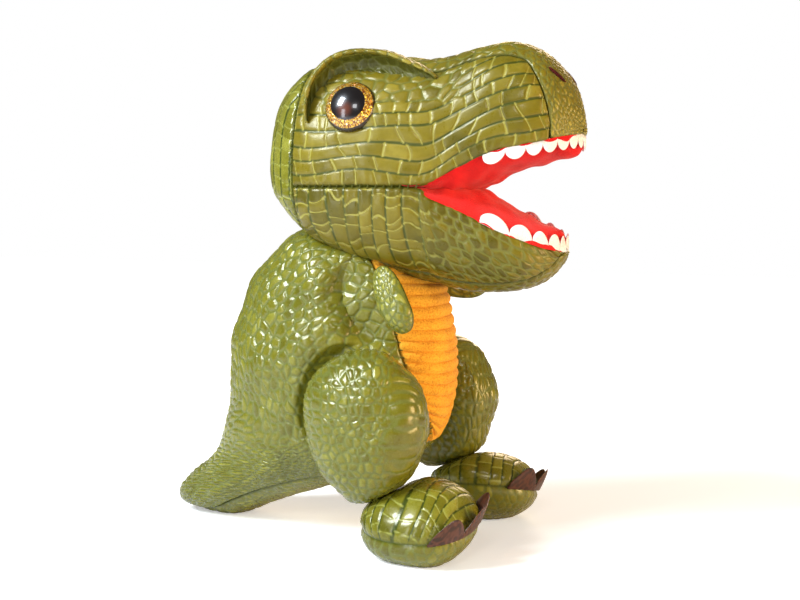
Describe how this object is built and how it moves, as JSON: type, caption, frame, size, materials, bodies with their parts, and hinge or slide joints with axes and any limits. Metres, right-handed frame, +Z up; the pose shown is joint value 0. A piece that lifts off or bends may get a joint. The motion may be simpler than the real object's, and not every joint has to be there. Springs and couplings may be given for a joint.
{
  "type": "stuffed dinosaur",
  "caption": "Plush dinosaur in glossy embossed leatherette, standing on two stuffed feet and its tail, with an open felt-toothed mouth and glitter eyes.",
  "frame": {"origin": "on the floor under the middle of the toy", "axes": "+Z up, the toy faces -Y, +X is its left side"},
  "size_m": [0.16, 0.2746, 0.2962],
  "materials": {
    "olive_leatherette": "glossy embossed",
    "polyester_filling": "fibre",
    "pellet_cloth": "woven",
    "ribbed_plush": "ribbed pile",
    "palate_velour": "velour",
    "tongue_velour": "velour",
    "white_felt": "felt",
    "brown_leatherette": "satin",
    "clear_eye_plastic": "clear gloss",
    "gold_glitter": "glitter",
    "black_pupil": "gloss",
    "washer_plastic": "matte",
    "maroon_thread": "satin stitch"
  },
  "bodies": {
    "torso": {"back_skin_left": "olive_leatherette", "back_skin_right": "olive_leatherette", "belly_panel": "ribbed_plush", "seat_gusset": "olive_leatherette", "torso_stuffing": "polyester_filling", "pellet_bag": "pellet_cloth"},
    "tail": {"tail_skin_left": "olive_leatherette", "tail_skin_right": "olive_leatherette", "tail_stuffing": "polyester_filling"},
    "neck": {"neck_wad": "polyester_filling"},
    "head": {"head_side_left": "olive_leatherette", "head_side_right": "olive_leatherette", "head_crown": "olive_leatherette", "head_back_left": "olive_leatherette", "head_back_right": "olive_leatherette", "cheek_left": "olive_leatherette", "cheek_right": "olive_leatherette", "palate_lining": "palate_velour", "upper_teeth": "white_felt", "brow_left": "olive_leatherette", "brow_right": "olive_leatherette", "nostril_stitches": "maroon_thread", "head_stuffing": "polyester_filling", "eye_lens_left": "clear_eye_plastic", "eye_lens_right": "clear_eye_plastic", "eye_disc_left": "gold_glitter", "eye_disc_right": "gold_glitter", "eye_pupil_left": "black_pupil", "eye_pupil_right": "black_pupil", "eye_washer_left": "washer_plastic", "eye_washer_right": "washer_plastic"},
    "jaw": {"jaw_side_left": "olive_leatherette", "jaw_side_right": "olive_leatherette", "jaw_chin": "olive_leatherette", "tongue_lining": "tongue_velour", "lower_teeth": "white_felt", "jaw_stuffing": "polyester_filling"},
    "arm_left": {"arm_outer_left": "olive_leatherette", "arm_inner_left": "olive_leatherette", "arm_stuffing_left": "polyester_filling"},
    "leg_left": {"thigh_outer_left": "olive_leatherette", "thigh_inner_left": "olive_leatherette", "thigh_stuffing_left": "polyester_filling", "foot_upper_left": "olive_leatherette", "foot_sole_left": "olive_leatherette", "foot_stuffing_left": "polyester_filling", "claw_strip_left": "brown_leatherette"},
    "arm_right": {"arm_outer_right": "olive_leatherette", "arm_inner_right": "olive_leatherette", "arm_stuffing_right": "polyester_filling"},
    "leg_right": {"thigh_outer_right": "olive_leatherette", "thigh_inner_right": "olive_leatherette", "thigh_stuffing_right": "polyester_filling", "foot_upper_right": "olive_leatherette", "foot_sole_right": "olive_leatherette", "foot_stuffing_right": "polyester_filling", "claw_strip_right": "brown_leatherette"}
  },
  "joints": [
    {"name": "head_turn", "type": "hinge", "parent": "torso", "child": "neck", "pos_m": [0, 0.002, 0.167], "axis": [0, -0.23, 0.9732], "range_deg": [-12, 12], "stiffness_Nm_per_rad": 2},
    {"name": "head_nod", "type": "hinge", "parent": "neck", "child": "head", "pos_m": [0, 0.002, 0.167], "axis": [1, 0, 0], "range_deg": [-5, 5], "stiffness_Nm_per_rad": 6},
    {"name": "jaw_open", "type": "hinge", "parent": "head", "child": "jaw", "pos_m": [0, -0.054, 0.211], "axis": [1, 0, 0], "range_deg": [-12, 5], "stiffness_Nm_per_rad": 1.5},
    {"name": "arm_left_swing", "type": "hinge", "parent": "torso", "child": "arm_left", "pos_m": [0.045, -0.032, 0.151], "axis": [1, 0, 0], "range_deg": [-25, 25], "stiffness_Nm_per_rad": 0.05},
    {"name": "arm_right_swing", "type": "hinge", "parent": "torso", "child": "arm_right", "pos_m": [-0.045, -0.032, 0.151], "axis": [1, 0, 0], "range_deg": [-25, 25], "stiffness_Nm_per_rad": 0.05},
    {"name": "leg_left_swing", "type": "hinge", "parent": "torso", "child": "leg_left", "pos_m": [0.05, -0.025, 0.079], "axis": [1, 0, 0], "range_deg": [-12, 12], "stiffness_Nm_per_rad": 5},
    {"name": "leg_right_swing", "type": "hinge", "parent": "torso", "child": "leg_right", "pos_m": [-0.05, -0.025, 0.079], "axis": [1, 0, 0], "range_deg": [-12, 12], "stiffness_Nm_per_rad": 5},
    {"name": "tail_wag", "type": "hinge", "parent": "torso", "child": "tail", "pos_m": [0, 0.091, 0.0325], "axis": [0, 0, 1], "range_deg": [-8, 8], "stiffness_Nm_per_rad": 2}
  ]
}
